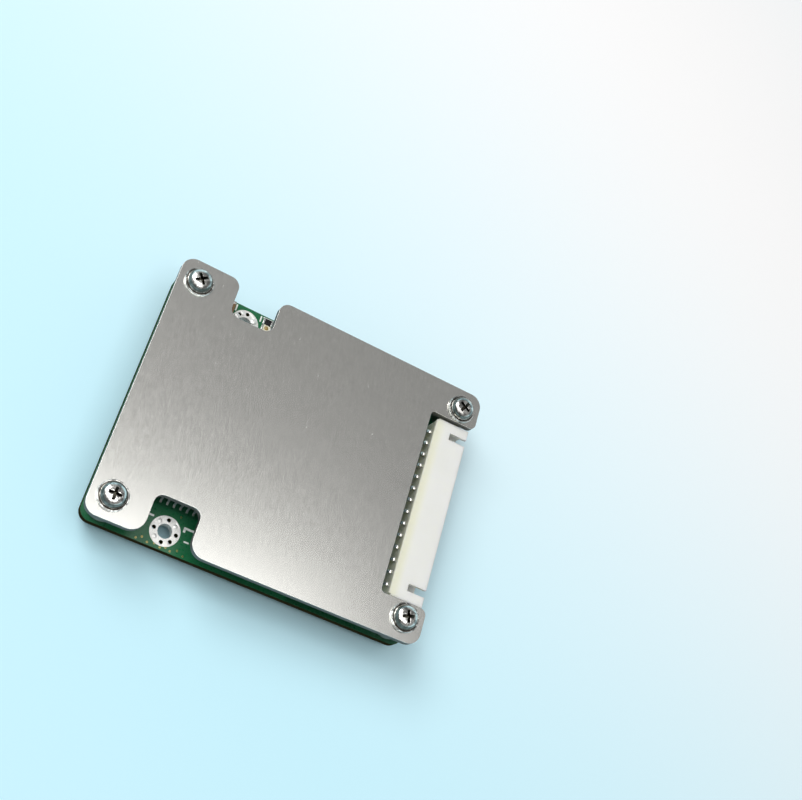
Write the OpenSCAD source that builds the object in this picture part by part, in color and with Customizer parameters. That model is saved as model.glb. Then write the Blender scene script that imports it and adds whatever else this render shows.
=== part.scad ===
// Battery management board: a circuit board with side-entry cell connector,
// power MOSFETs and balancing parts, under a screwed-on aluminium heatsink plate.
// The board lies in XY, long side along X. Z = 0 is the plane of the four screw tips,
// X = Y = 0 is the middle of the heatsink plate. All sizes are in millimetres.

/* [Heatsink plate] */
// Length of the plate, along X
plate_l = 65; // [64:0.5:75]
// Thickness of the plate
plate_t = 1.5; // [1:0.1:3]
// Radius of the plate's outer corners
plate_r = 2.5; // [1:0.25:3.5]
// Width of the two wire notches
notch_w = 8.6; // [7:0.1:9.4]
// Distance of the output notch's middle from the plate's left edge
output_notch_x = 15.1; // [14.6:0.1:17]
// Distance of the battery notch's middle from the plate's left edge
battery_notch_x = 15.6; // [14.6:0.1:17]
// Depth of the notch over the output pad
output_notch_depth = 8; // [6.5:0.1:9]
// Depth of the notch over the battery pad
battery_notch_depth = 7.4; // [6.5:0.1:9]
// Radius at the root of the notches
notch_root_r = 1.7; // [0.5:0.1:3]
// Rounding where the output notch opens at the edge
output_mouth_r = 2.8; // [0.5:0.1:3]
// Rounding where the battery notch opens at the edge
battery_mouth_r = 2; // [0.5:0.1:3]
// Gap between the connector and the end walls of its cut-out
cutout_end_gap = 0.35; // [0.2:0.05:0.6]
// Gap behind the connector, where its bent pins show
cutout_rear_gap = 2.35; // [1.6:0.05:4]
// Radius in the inner corners of the connector cut-out
cutout_root_r = 0.8; // [0.3:0.1:1.2]
// Rounding of the ears beside the connector cut-out
cutout_mouth_r = 1.3; // [0.5:0.1:2]

/* [Circuit board] */
// Thickness of the circuit board
board_t = 1.6; // [1:0.1:2.4]
// Radius of the board's corners
board_r = 2.2; // [1:0.1:3]
// Distance of the board's short edges inside the plate's
board_inset_x = 0.5; // [0.1:0.05:1.2]
// Distance of the board's long edges inside the plate's
board_inset_y = 0.75; // [0.3:0.05:1]

/* [Fastening] */
// Distance of the screws from the plate's short edges
screw_edge_x = 4; // [4:0.1:5]
// Distance of the screws from the plate's long edges
screw_edge_y = 4.25; // [4.1:0.05:4.45]
// Gap between the spacers and the ends of the connector housing
spacer_gap = 0.3; // [0.2:0.05:0.6]
// Outer diameter of the screw thread
screw_d = 2.95; // [2.4:0.05:3]
// Diameter of the pan heads
head_d = 5.6; // [5:0.1:6]
// Height of the pan heads
head_h = 2; // [1.6:0.1:2.4]
// Height of the straight rim below the crown of the heads
head_rim_h = 0.9; // [0.5:0.05:1.2]
// Width of the cross recess across its wings
recess_d = 3; // [2.4:0.1:3.4]
// Width of each wing of the cross recess
recess_wing_w = 0.5; // [0.4:0.05:0.7]
// Depth of the cross recess
recess_depth = 1.2; // [0.6:0.1:1.5]
// Radial gap of the screws in the plate, spacer and board
screw_gap = 0.15; // [0.05:0.05:0.3]
// Radial gap of the plain screw shank in the nut's bore
thread_gap = 0.03; // [0.02:0.01:0.06]
// Height of the spacers between board and plate
spacer_h = 5.5; // [4:0.1:8]
// Outer diameter of the spacers
spacer_d = 6; // [5:0.1:6.4]
// Width of the hexagon nuts across their flats
nut_af = 5.5; // [5:0.1:6]
// Height of the nuts
nut_h = 2.4; // [2.4:0.1:3]
// Length of thread that stands out below the nuts
screw_tip = 1; // [0.3:0.1:3]

/* [Connector] */
// Number of connector pins
pin_count = 14; // [8:1:14]
// Distance from pin to pin
pin_pitch = 2.5; // [2.4:0.02:2.54]
// Width of the square pins
pin_w = 0.64; // [0.5:0.02:0.7]
// Length of the pins inside the socket
pin_reach = 3.2; // [2.4:0.1:4]
// Distance from the housing's rear to the middle of the pin legs
pin_setback = 0.6; // [0.5:0.05:1]
// Length of pin that stands out below the board
pin_tail = 1.6; // [1:0.1:2.2]
// Outer radius of the pins' bend
pin_bend_r = 0.8; // [0.7:0.05:0.9]
// Gap of the pins in the housing's rear wall
pin_gap = 0.03; // [0.01:0.01:0.1]
// Distance from the pins' middle down from the housing's top
pin_drop = 2.35; // [2:0.05:2.6]
// Distance from the last pin to the housing's end
housing_end = 2.45; // [1.8:0.05:2.6]
// Distance of the socket's mouth inside the board's right edge
housing_inset = 0.25; // [0:0.05:0.6]
// Depth of the housing, from its rear to its mouth
housing_depth = 6.7; // [6:0.1:7.5]
// Height of the housing
housing_h = 6.1; // [5.6:0.1:7]
// Thickness of the housing's top and end walls
housing_wall = 0.75; // [0.5:0.05:0.9]
// Thickness of the housing's floor
housing_floor = 1.05; // [0.6:0.05:1.4]
// Thickness of the housing's rear wall
housing_rear = 1.9; // [1:0.1:2.2]
// Width of the two guide slots in the housing's top
slot_w = 1.4; // [0.8:0.1:1.6]
// Length of the guide slots
slot_l = 3.7; // [2:0.1:4]
// Distance of the guide slots inside the end pins
slot_inset = 0.25; // [0:0.05:0.5]
// Size of the lead-in chamfer round the socket's mouth
mouth_chamfer = 0.25; // [0.1:0.05:0.4]
// Diameter of the board's holes for the pins
pin_hole_d = 1; // [1:0.05:1.2]

/* [Power pads] */
// Distance of the output pad from the plate's left edge
output_pad_x = 15.65; // [15.3:0.05:18]
// Distance of the output pad from the plate's near edge
output_pad_y = 4.25; // [4:0.05:4.6]
// Distance of the battery pad from the plate's left edge
battery_pad_x = 15.8; // [15.3:0.05:18]
// Distance of the battery pad from the plate's far edge
battery_pad_y = 4.25; // [4:0.05:4.6]
// Outer diameter of the solder rings
pad_d = 5.65; // [5:0.05:5.7]
// Diameter of the wire hole in the pads
pad_hole_d = 2.7; // [2:0.1:2.8]
// Thickness of the tinned rings above and below the board
pad_t = 0.1; // [0.05:0.01:0.15]
// Thickness of the tinned barrel that lines the wire holes
barrel_t = 0.2; // [0.1:0.05:0.25]
// Number of vias round each wire hole
via_count = 8; // [4:1:8]
// Diameter of the vias
via_d = 0.75; // [0.4:0.05:0.8]
// Radius of the circle of vias
via_circle_r = 2.1; // [2.05:0.05:2.15]

/* [Power parts] */
// MOSFETs in each of the two rows
mosfet_count = 4; // [2:1:4]
// Distance of the first MOSFET from the plate's left edge
mosfet_x = 11.15; // [9:0.05:12]
// Distance of the first MOSFET row from the plate's near edge
mosfet_y = 11.8; // [11.2:0.05:13]
// Distance from one MOSFET row to the next
mosfet_row_pitch = 7.5; // [6.5:0.1:9]
// Height of the MOSFETs above the board
mosfet_h = 1.75; // [1.2:0.05:2]
// Distance of the shunt resistors from the last MOSFETs
shunt_offset = 7.4; // [6:0.1:9]
// Distance from one shunt resistor to the next
shunt_pitch = 5; // [3.6:0.1:6]
// Distance of the shunt resistors from the near MOSFET row's middle
shunt_shift = 0; // [-1:0.1:1]

/* [Signal parts] */
// Distance from the pin legs to the balancing resistors
resistor_offset = 6.6; // [6.4:0.1:7.2]
// Distance from the balancing resistors to the transistors
transistor_offset = 4.2; // [3.4:0.1:4.6]
// Distance from the pin legs to the filter capacitors
filter_offset = 2.9; // [2.4:0.1:3.2]
// Distance from the pin legs to the cell monitor chip
monitor_offset = 18; // [17:0.1:20]
// Distance of the controller chip from the plate's left edge
controller_x = 24.5; // [22:0.1:26]
// Distance of the controller chip from the plate's far edge
controller_y = 18.5; // [14:0.1:22]
// Distance of the surge diode from the output pad
diode_offset = 14; // [8:0.1:16]
// Distance of the status LED from the battery pad, along the plate's edge
led_offset = 4.2; // [4.1:0.05:6]
// Distance of the status LED from the battery pad, towards the plate's edge
led_rise = 0.8; // [0:0.05:1]
// Distance from the status LED to its resistor
led_resistor_pitch = 1.5; // [1.4:0.05:1.6]
// Distance of the snubber capacitor from the battery pad, along the plate's edge
capacitor_offset = 3.75; // [3.7:0.05:4]
// Distance of the snubber capacitor from the battery pad, towards the plate's edge
capacitor_rise = 1.4; // [0.5:0.1:1.6]
// Distance of the thermistor from the last MOSFET
thermistor_offset = 4.4; // [3.6:0.1:6]

/* [Hidden] */
$fn = 64;
// Space that a cut runs past a face
over = 1;

// Heights, from the screw tips up
nut_z = screw_tip;
board_z = nut_z + nut_h;
board_top = board_z + board_t;
plate_z = board_top + spacer_h;
plate_top = plate_z + plate_t;

// Length of the connector, and the width of the plate that reaches past its ends
pins_l = (pin_count - 1) * pin_pitch;
housing_l = pins_l + 2 * housing_end;
screw_y = housing_l / 2 + spacer_gap + spacer_d / 2;
plate_w = 2 * (screw_y + screw_edge_y);

// Edges of the plate and of the board
plate_left = -plate_l / 2;
plate_right = plate_l / 2;
plate_near = -plate_w / 2;
plate_far = plate_w / 2;
board_right = plate_right - board_inset_x;
board_l = plate_l - 2 * board_inset_x;
board_w = plate_w - 2 * board_inset_y;

// Screws
screw_sites = [
    for (y = [-screw_y, screw_y])
        for (x = [plate_left + screw_edge_x, plate_right - screw_edge_x]) [x, y]
];
screw_hole_d = screw_d + 2 * screw_gap;
nut_bore_d = screw_d + 2 * thread_gap;
tip_chamfer = 0.3;
spacer_chamfer = 0.25;
recess_end_depth = 0.3;
nut_rim = 0.08;
nut_bevel_angle = 30;

// Connector: its socket opens to the right, at the board's edge
mouth_x = board_right - housing_inset;
housing_x = mouth_x - housing_depth;
housing_top = board_top + housing_h;
pin_x = housing_x - pin_setback;
pin_z = housing_top - pin_drop;
pin_first_y = -pins_l / 2;
pin_point = 0.25;
pin_hole_w = pin_w + 2 * pin_gap;
cavity_x = housing_x + housing_rear;
cavity_l = housing_l - 2 * housing_wall;
cavity_z = board_top + housing_floor;
cavity_h = housing_h - housing_floor - housing_wall;
slot_y = pins_l / 2 - slot_inset;
cell_count = pin_count - 1;

// Power pads
output_pad = [plate_left + output_pad_x, plate_near + output_pad_y];
battery_pad = [plate_left + battery_pad_x, plate_far - battery_pad_y];

// Gull-wing leads: how far they reach into the body, and where they turn down
lead_root = 0.3;
lead_shoulder = 0.4;

// Small-outline packages: pitch, span, and each lead's width and thickness
so_pitch = 1.27;
so_span = 6;
so_lead = [0.42, 0.2];

// MOSFETs, whose leads share one grid along a row
mosfet_size = [4.9, 3.9, mosfet_h];
mosfet_leads = 4;
mosfet_pitch = mosfet_leads * so_pitch;
row_x = plate_left + mosfet_x;
row_y = plate_near + mosfet_y;
row_end = row_x + (mosfet_count - 1) * mosfet_pitch;
row_l = (mosfet_count - 1) * mosfet_pitch + mosfet_size[0];
thermal_pad_edge = 0.15;
thermal_pad_r = 0.4;

// Other leaded packages: length, width and height
controller_size = [9.9, 3.9, 1.7];
controller_leads = 8;
monitor_size = [10.2, 5.3, 1.75];
monitor_leads = 14;
monitor_pitch = 0.65;
monitor_span = 7.8;
monitor_lead = [0.28, 0.15];
transistor_size = [2.9, 1.3, 1];
transistor_pitch = 0.95;
transistor_span = 2.35;
transistor_lead = [0.42, 0.12];
transistor_foot = 0.25;
diode_size = [4.3, 3.6, 2.2];

// Chip parts: length, width, height, and the length of each end cap
shunt_size = [6.4, 3.2, 0.6, 1.1];
resistor_size = [3.2, 1.6, 0.55, 0.5];
capacitor_size = [3.2, 1.6, 1.1, 0.5];
led_size = [2, 1.25, 0.8, 0.3];
led_resistor_size = [2, 1.25, 0.5, 0.35];
small_chip_size = [1.6, 0.8, 0.8, 0.3];

// Places on the board
column_first_y = -(cell_count - 1) / 2 * pin_pitch;
resistor_x = pin_x - resistor_offset;
transistor_x = resistor_x - transistor_offset;
filter_x = pin_x - filter_offset;
monitor_place = [pin_x - monitor_offset, 0];
controller_place = [plate_left + controller_x, plate_far - controller_y];
diode_place = [output_pad[0], output_pad[1] + diode_offset];
led_place = [battery_pad[0] + led_offset, battery_pad[1] + led_rise];
led_resistor_place = [led_place[0], led_place[1] + led_resistor_pitch];
capacitor_place = [battery_pad[0] - capacitor_offset, battery_pad[1] + capacitor_rise];
thermistor_place = [row_end + thermistor_offset, row_y + mosfet_row_pitch];

// Names of the like pieces
pin_names = [for (i = [1:pin_count]) str("connector_pin_", i)];
spacer_names = [for (i = [1:4]) str("spacer_", i)];
mosfet_names = [for (i = [1:2 * mosfet_count]) str("mosfet_", i)];
shunt_names = [for (i = [1:2]) str("shunt_resistor_", i)];
balance_names = [for (i = [1:cell_count]) str("balance_resistor_", i)];

// ---- Outlines ----

// Rectangle with round corners, about its middle
module rounded_rectangle(l, w, r) {
    square([l - 2 * r, w], center = true);
    square([l, w - 2 * r], center = true);
    for (x = [-1, 1], y = [-1, 1])
        translate([x * (l / 2 - r), y * (w / 2 - r)]) circle(r);
}

// What a round nose of radius r leaves of a square corner at the origin
module corner_waste(r) {
    difference() {
        translate([-over, -over]) square([r + over, r + over]);
        translate([r, r]) circle(r);
        translate([r, -2 * over]) square([r, r + 3 * over]);
        translate([-2 * over, r]) square([r + 3 * over, r]);
    }
}

// Notch that opens downwards at y = 0, with rounded root and mouth
module notch(w, depth, root_r, mouth_r) {
    translate([-w / 2 + root_r, -over]) square([w - 2 * root_r, depth + over]);
    translate([-w / 2, -over]) square([w, depth - root_r + over]);
    for (flip = [0, 1])
        mirror([flip, 0]) {
            translate([w / 2 - root_r, depth - root_r]) circle(root_r);
            translate([w / 2, 0]) corner_waste(mouth_r);
        }
}

// ---- Plate, board and fastening ----

module heatsink_plate() {
    cutout_l = housing_l + 2 * cutout_end_gap;
    cutout_depth = plate_right - housing_x + cutout_rear_gap;
    color([0.78, 0.78, 0.76])
    translate([0, 0, plate_z])
    linear_extrude(plate_t)
    difference() {
        rounded_rectangle(plate_l, plate_w, plate_r);
        translate([plate_left + output_notch_x, plate_near])
            notch(notch_w, output_notch_depth, notch_root_r, output_mouth_r);
        translate([plate_left + battery_notch_x, plate_far])
            rotate(180) notch(notch_w, battery_notch_depth, notch_root_r, battery_mouth_r);
        translate([plate_right, 0])
            rotate(90) notch(cutout_l, cutout_depth, cutout_root_r, cutout_mouth_r);
        for (site = screw_sites)
            translate(site) circle(d = screw_hole_d);
    }
}

module circuit_board() {
    color([0.05, 0.36, 0.19])
    translate([0, 0, board_z])
    linear_extrude(board_t)
    difference() {
        rounded_rectangle(board_l, board_w, board_r);
        for (site = screw_sites)
            translate(site) circle(d = screw_hole_d);
        for (pad = [output_pad, battery_pad])
            translate(pad) {
                circle(d = pad_hole_d + 2 * barrel_t);
                via_circle();
            }
        for (i = [0:pin_count - 1])
            translate([pin_x, pin_first_y + i * pin_pitch]) circle(d = pin_hole_d);
    }
}

module via_circle() {
    for (i = [0:via_count - 1])
        rotate(i * 360 / via_count) translate([via_circle_r, 0]) circle(d = via_d);
}

// Plated wire hole: a tinned ring on each face, joined by the barrel in the hole
module power_pad(place) {
    inner_r = pad_hole_d / 2;
    barrel_r = inner_r + barrel_t;
    ring_r = pad_d / 2;
    color([0.86, 0.86, 0.83])
    translate([place[0], place[1], board_z])
    difference() {
        rotate_extrude()
            polygon([
                [inner_r, -pad_t], [ring_r, -pad_t], [ring_r, 0], [barrel_r, 0],
                [barrel_r, board_t], [ring_r, board_t],
                [ring_r, board_t + pad_t], [inner_r, board_t + pad_t]
            ]);
        translate([0, 0, -over]) linear_extrude(board_t + 2 * over) via_circle();
    }
}

module spacer(site) {
    inner_r = screw_hole_d / 2;
    outer_r = spacer_d / 2;
    c = spacer_chamfer;
    color([0.72, 0.7, 0.64])
    translate([site[0], site[1], board_top])
    rotate_extrude()
        polygon([
            [inner_r, 0], [outer_r - c, 0], [outer_r, c],
            [outer_r, spacer_h - c], [outer_r - c, spacer_h], [inner_r, spacer_h]
        ]);
}

// Pan-head screw, its thread as a plain shank: the head's crown is an arc
module plate_screw() {
    r = screw_d / 2;
    crown_h = head_h - head_rim_h;
    crown_r = (pow(head_d / 2, 2) + pow(crown_h, 2)) / (2 * crown_h);
    difference() {
        rotate_extrude() {
            polygon([
                [0, 0], [r - tip_chamfer, 0], [r, tip_chamfer],
                [r, plate_top + head_rim_h], [0, plate_top + head_rim_h]
            ]);
            translate([0, plate_top])
                intersection() {
                    translate([0, head_h - crown_r]) circle(crown_r);
                    square([head_d / 2, head_h]);
                }
        }
        translate([0, 0, plate_top + head_h]) cross_recess();
    }
}

// Cross of two wings that narrow towards the bottom
module cross_recess() {
    r = recess_d / 2;
    for (turn = [0, 90])
        rotate([90, 0, turn])
        linear_extrude(recess_wing_w, center = true)
            polygon([
                [-r, over], [-r, -recess_end_depth], [-recess_wing_w, -recess_depth],
                [recess_wing_w, -recess_depth], [r, -recess_end_depth], [r, over]
            ]);
}

module plate_screws() {
    color([0.8, 0.8, 0.78])
    for (site = screw_sites)
        translate(site) plate_screw();
}

// Hexagon nut with the corners turned off on both faces
module hex_nut() {
    corner_r = nut_af / sqrt(3);
    face_r = nut_af / 2 - nut_rim;
    c = (corner_r - face_r) * tan(nut_bevel_angle);
    difference() {
        intersection() {
            cylinder(r = corner_r, h = nut_h, $fn = 6);
            rotate_extrude()
                polygon([
                    [0, 0], [face_r, 0], [corner_r, c],
                    [corner_r, nut_h - c], [face_r, nut_h], [0, nut_h]
                ]);
        }
        translate([0, 0, -over]) cylinder(d = nut_bore_d, h = nut_h + 2 * over);
    }
}

module hex_nuts() {
    color([0.75, 0.74, 0.7])
    for (site = screw_sites)
        translate([site[0], site[1], nut_z]) hex_nut();
}

// ---- Connector ----

// Shrouded side-entry housing: a shell that opens to the right
module connector_housing() {
    color([0.93, 0.92, 0.87])
    difference() {
        translate([housing_x, -housing_l / 2, board_top])
            cube([housing_depth, housing_l, housing_h]);
        translate([cavity_x, -cavity_l / 2, cavity_z])
            cube([housing_depth, cavity_l, cavity_h]);
        for (side = [-1, 1])
            translate([mouth_x - slot_l, side * slot_y - slot_w / 2, pin_z])
                cube([slot_l + over, slot_w, housing_h]);
        for (i = [0:pin_count - 1])
            translate([
                housing_x - over, pin_first_y + i * pin_pitch - pin_hole_w / 2,
                pin_z - pin_hole_w / 2
            ])
                cube([housing_depth, pin_hole_w, pin_hole_w]);
        mouth_lead_in();
    }
}

// Chamfers along the four inner edges of the socket's mouth
module mouth_lead_in() {
    c = mouth_chamfer;
    half_h = cavity_h / 2;
    half_l = cavity_l / 2;
    translate([mouth_x, 0, cavity_z + half_h]) {
        for (side = [-1, 1]) {
            rotate([90, 0, 0])
                linear_extrude(2 * half_l, center = true)
                polygon([[-c, side * half_h], [0, side * (half_h + c)], [0, side * half_h]]);
            linear_extrude(2 * half_h, center = true)
                polygon([[-c, side * half_l], [0, side * (half_l + c)], [0, side * half_l]]);
        }
    }
}

// Square pin: level in the socket, bent behind the housing, down through the board
module connector_pin(index) {
    leg_top = pin_z - board_z + pin_tail;
    tip = cavity_x + pin_reach - pin_x;
    half = pin_w / 2;
    color([0.83, 0.82, 0.76])
    translate([pin_x, pin_first_y + (index - 1) * pin_pitch, board_z - pin_tail])
    rotate([90, 0, 0])
    linear_extrude(pin_w, center = true)
    difference() {
        polygon([
            [-half, pin_point], [-half / 2, 0], [half / 2, 0], [half, pin_point],
            [half, leg_top - half], [tip - pin_point, leg_top - half], [tip, leg_top - half / 2],
            [tip, leg_top + half / 2], [tip - pin_point, leg_top + half],
            [-half, leg_top + half]
        ]);
        translate([-half, leg_top + half])
            mirror([0, 1]) corner_waste(pin_bend_r);
    }
}

// ---- Leaded packages, drawn standing on z = 0 ----

// Moulded body with drafted sides, l along X and w along Y, from z = lift up to h
module moulded_body(l, w, h, lift = 0.1, draft = 0.12) {
    belt = (h + lift) / 2;
    intersection() {
        rotate([90, 0, 0])
            linear_extrude(w, center = true)
            polygon([
                [-l / 2 + draft, lift], [l / 2 - draft, lift], [l / 2, belt],
                [l / 2 - draft, h], [-l / 2 + draft, h], [-l / 2, belt]
            ]);
        rotate([90, 0, 90])
            linear_extrude(l, center = true)
            polygon([
                [-w / 2 + draft, lift], [w / 2 - draft, lift], [w / 2, belt],
                [w / 2 - draft, h], [-w / 2 + draft, h], [-w / 2, belt]
            ]);
    }
}

// Gull-wing lead towards +Y: out of the body of that size at half its height, and
// down to a foot that ends at span / 2. lead is its width and thickness
module gull_lead(size, span, lead, foot = 0.6) {
    w = size[1];
    z = size[2] / 2;
    t = lead[1];
    root = w / 2 - lead_root;
    end = span / 2;
    bend = w / 2 + (end - foot - w / 2) * lead_shoulder;
    rotate([90, 0, 90])
        linear_extrude(lead[0], center = true)
        polygon([
            [root, z + t / 2], [root, z - t / 2], [bend, z - t / 2], [end - foot, 0],
            [end, 0], [end, t], [end - foot + t / 2, t], [bend + t, z + t / 2]
        ]);
}

// Package with equal rows of leads on its two long sides
module leaded_package(size, span, pitch, leads, lead) {
    moulded_body(size[0], size[1], size[2]);
    for (side = [0, 180], i = [0:leads - 1])
        rotate(side)
        translate([(i - (leads - 1) / 2) * pitch, 0, 0])
            gull_lead(size, span, lead);
}

// Three-lead transistor, body along X
module small_transistor() {
    moulded_body(transistor_size[0], transistor_size[1], transistor_size[2]);
    for (lead_site = [[-transistor_pitch, 0], [transistor_pitch, 0], [0, 180]])
        translate([lead_site[0], 0, 0])
        rotate(lead_site[1])
            gull_lead(transistor_size, transistor_span, transistor_lead, transistor_foot);
}

// Chip part along X: a ceramic body between two slightly thicker metal end caps
module chip(size) {
    step = 0.04;
    l = size[0];
    h = size[2];
    cap = size[3];
    rotate([90, 0, 0])
        linear_extrude(size[1], center = true)
        polygon([
            [-l / 2, 0], [-l / 2 + cap, 0], [-l / 2 + cap, step], [l / 2 - cap, step],
            [l / 2 - cap, 0], [l / 2, 0], [l / 2, h], [l / 2 - cap, h],
            [l / 2 - cap, h - step], [-l / 2 + cap, h - step], [-l / 2 + cap, h], [-l / 2, h]
        ]);
}

// Diode whose flat leads fold under the moulded body
module folded_lead_diode(size) {
    lead_w = 2;
    t = 0.2;
    foot = 1.4;
    root = size[0] / 2 - lead_root;
    reach = size[0] / 2 + 0.45;
    exit_z = size[2] / 2 + t / 2;
    moulded_body(size[0], size[1], size[2], lift = t);
    for (side = [0, 180])
        rotate([90, 0, side])
            linear_extrude(lead_w, center = true)
            polygon([
                [reach - foot, 0], [reach, 0], [reach, exit_z], [root, exit_z],
                [root, exit_z - t], [reach - t, exit_z - t], [reach - t, t],
                [reach - foot, t]
            ]);
}

// ---- Parts on the top face ----

module on_top(place, turn = 0) {
    translate([place[0], place[1], board_top]) rotate(turn) children();
}

module mosfet(index) {
    row = floor((index - 1) / mosfet_count);
    column = (index - 1) % mosfet_count;
    color([0.09, 0.09, 0.1])
    on_top([row_x + column * mosfet_pitch, row_y + row * mosfet_row_pitch])
        leaded_package(mosfet_size, so_span, so_pitch, mosfet_leads, so_lead);
}

// Soft pad between a row of MOSFETs and the plate
module thermal_pad(row) {
    pad_l = row_l - 2 * thermal_pad_edge;
    pad_w = mosfet_size[1] - 2 * thermal_pad_edge;
    color([0.55, 0.6, 0.66])
    translate([
        (row_x + row_end) / 2, row_y + row * mosfet_row_pitch, board_top + mosfet_h
    ])
        linear_extrude(spacer_h - mosfet_h)
        rounded_rectangle(pad_l, pad_w, thermal_pad_r);
}

module shunt_resistor(index) {
    color([0.16, 0.16, 0.17])
    on_top([row_end + shunt_offset + (index - 1) * shunt_pitch, row_y + shunt_shift], 90)
        chip(shunt_size);
}

module status_led() {
    cup_r = 0.45;
    cup_floor_r = 0.35;
    cup_depth = 0.2;
    color([0.93, 0.88, 0.7])
    on_top(led_place)
    difference() {
        chip(led_size);
        translate([0, 0, led_size[2] - cup_depth])
            cylinder(r1 = cup_floor_r, r2 = cup_r, h = cup_depth);
    }
}

module led_resistor() {
    color([0.16, 0.14, 0.13])
    on_top(led_resistor_place)
        chip(led_resistor_size);
}

module snubber_capacitor() {
    color([0.55, 0.43, 0.3])
    on_top(capacitor_place, 90)
        chip(capacitor_size);
}

module thermistor() {
    color([0.15, 0.2, 0.18])
    on_top(thermistor_place, 90)
        chip(small_chip_size);
}

// ---- Parts on the underside ----

module on_underside(place, turn = 0) {
    translate([place[0], place[1], board_z]) rotate([180, 0, turn]) children();
}

module monitor_chip() {
    color([0.1, 0.1, 0.11])
    on_underside(monitor_place, 90)
        leaded_package(monitor_size, monitor_span, monitor_pitch, monitor_leads, monitor_lead);
}

module controller_chip() {
    color([0.1, 0.1, 0.11])
    on_underside(controller_place)
        leaded_package(controller_size, so_span, so_pitch, controller_leads, so_lead);
}

module surge_diode() {
    color([0.12, 0.12, 0.12])
    on_underside(diode_place)
        folded_lead_diode(diode_size);
}

module balance_resistor(index) {
    color([0.13, 0.13, 0.14])
    on_underside([resistor_x, column_first_y + (index - 1) * pin_pitch])
        chip(resistor_size);
}

module balance_transistors() {
    color([0.1, 0.1, 0.11])
    for (i = [0:cell_count - 1])
        on_underside([transistor_x, column_first_y + i * pin_pitch])
            small_transistor();
}

module filter_capacitors() {
    color([0.6, 0.46, 0.33])
    for (i = [0:cell_count - 1])
        on_underside([filter_x, column_first_y + i * pin_pitch])
            chip(small_chip_size);
}

heatsink_plate();
circuit_board();
connector_housing();
plate_screws();
hex_nuts();
power_pad(output_pad);
power_pad(battery_pad);
thermal_pad(0);  // near_thermal_pad
thermal_pad(1);  // far_thermal_pad
monitor_chip();
controller_chip();
surge_diode();
balance_transistors();
filter_capacitors();
status_led();
led_resistor();
snubber_capacitor();
thermistor();
for (i = [1:pin_count])
    connector_pin(i);
for (i = [1:4])
    spacer(screw_sites[i - 1]);
for (i = [1:2 * mosfet_count])
    mosfet(i);
for (i = [1:2])
    shunt_resistor(i);
for (i = [1:cell_count])
    balance_resistor(i);
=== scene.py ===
import math

import bpy
from bpy.props import FloatProperty, FloatVectorProperty, IntProperty, PointerProperty
from mathutils import Matrix, Vector


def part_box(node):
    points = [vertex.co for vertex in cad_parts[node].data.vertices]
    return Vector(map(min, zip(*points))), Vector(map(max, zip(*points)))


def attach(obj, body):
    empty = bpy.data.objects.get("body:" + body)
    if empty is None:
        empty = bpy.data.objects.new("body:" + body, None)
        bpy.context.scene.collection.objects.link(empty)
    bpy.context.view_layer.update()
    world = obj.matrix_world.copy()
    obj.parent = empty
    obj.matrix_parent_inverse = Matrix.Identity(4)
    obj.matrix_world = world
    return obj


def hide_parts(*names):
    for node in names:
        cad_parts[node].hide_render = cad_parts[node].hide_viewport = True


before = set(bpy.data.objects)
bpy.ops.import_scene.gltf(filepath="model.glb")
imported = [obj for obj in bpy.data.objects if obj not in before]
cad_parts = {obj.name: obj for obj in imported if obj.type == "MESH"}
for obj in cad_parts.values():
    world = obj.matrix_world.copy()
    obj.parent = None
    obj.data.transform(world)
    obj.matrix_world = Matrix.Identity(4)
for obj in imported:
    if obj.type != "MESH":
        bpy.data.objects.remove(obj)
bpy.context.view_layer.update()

bl_info = {
    "name": "Battery Management Board",
    "version": (1, 0, 0),
    "blender": (4, 5, 0),
    "location": "View3D > Sidebar > Board",
    "description": "Dresses the battery management board: heatsink plate, connector, solder and parts",
    "category": "Object",
}

MM = 0.001


# ---- Places, read from the frame in millimetres ----


def corners(node):
    """Lowest and highest corner of a node, in millimetres."""
    low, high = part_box(node)
    return low / MM, high / MM


def middle(node):
    """The middle of a node's box, in millimetres."""
    low, high = corners(node)
    return (low + high) / 2


def numbered(stem):
    """The nodes named stem_1, stem_2 and so on, in that order."""
    names = [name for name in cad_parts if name.startswith(stem + "_")]
    return sorted(names, key=lambda name: int(name.rsplit("_", 1)[1]))


PLATE = corners("heatsink_plate")
BOARD = corners("circuit_board")
HOUSING = corners("connector_housing")
PINS = numbered("connector_pin")
SPACERS = numbered("spacer")
MOSFETS = numbered("mosfet")
SHUNTS = numbered("shunt_resistor")
BALANCE = numbered("balance_resistor")
SCREW_SITES = [middle(name) for name in SPACERS]
SCREW_TOP = corners("plate_screws")[1].z
PIN_PITCH = middle(PINS[1]).y - middle(PINS[0]).y
PIN_LEG = corners(PINS[0])[0].x + 0.32
SCREW_TURNS = (0, 17, 35, 60)
OUTPUT_PAD = middle("output_pad")
BATTERY_PAD = middle("battery_pad")
PAD_VIA_RING = 2.1
SHANK_RADIUS = 1.475
DOME_FOOT = 2.12
DOME_FULLNESS = 0.55
POUR_EDGE_X = -27.0
POUR_EDGE_Y = 17.8
TRACE_START = 12.2
CAMERA_PLACE = (-54.98, -86.85, 210.40)
CAMERA_FORWARD = (0.3010, 0.4461, -0.8429)
CAMERA_RIGHT = (0.8595, 0.2560, 0.4424)


# ---- What a user would change ----


def length(name, description, default):
    """A length setting, given here in millimetres and kept in metres."""
    return FloatProperty(
        name=name, description=description, default=default * MM, min=0, precision=5, unit="LENGTH"
    )


def colour(name, description, default):
    """A colour as linear red, green and blue."""
    return FloatVectorProperty(
        name=name, description=description, default=default, size=3, min=0, max=1, subtype="COLOR"
    )


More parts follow.
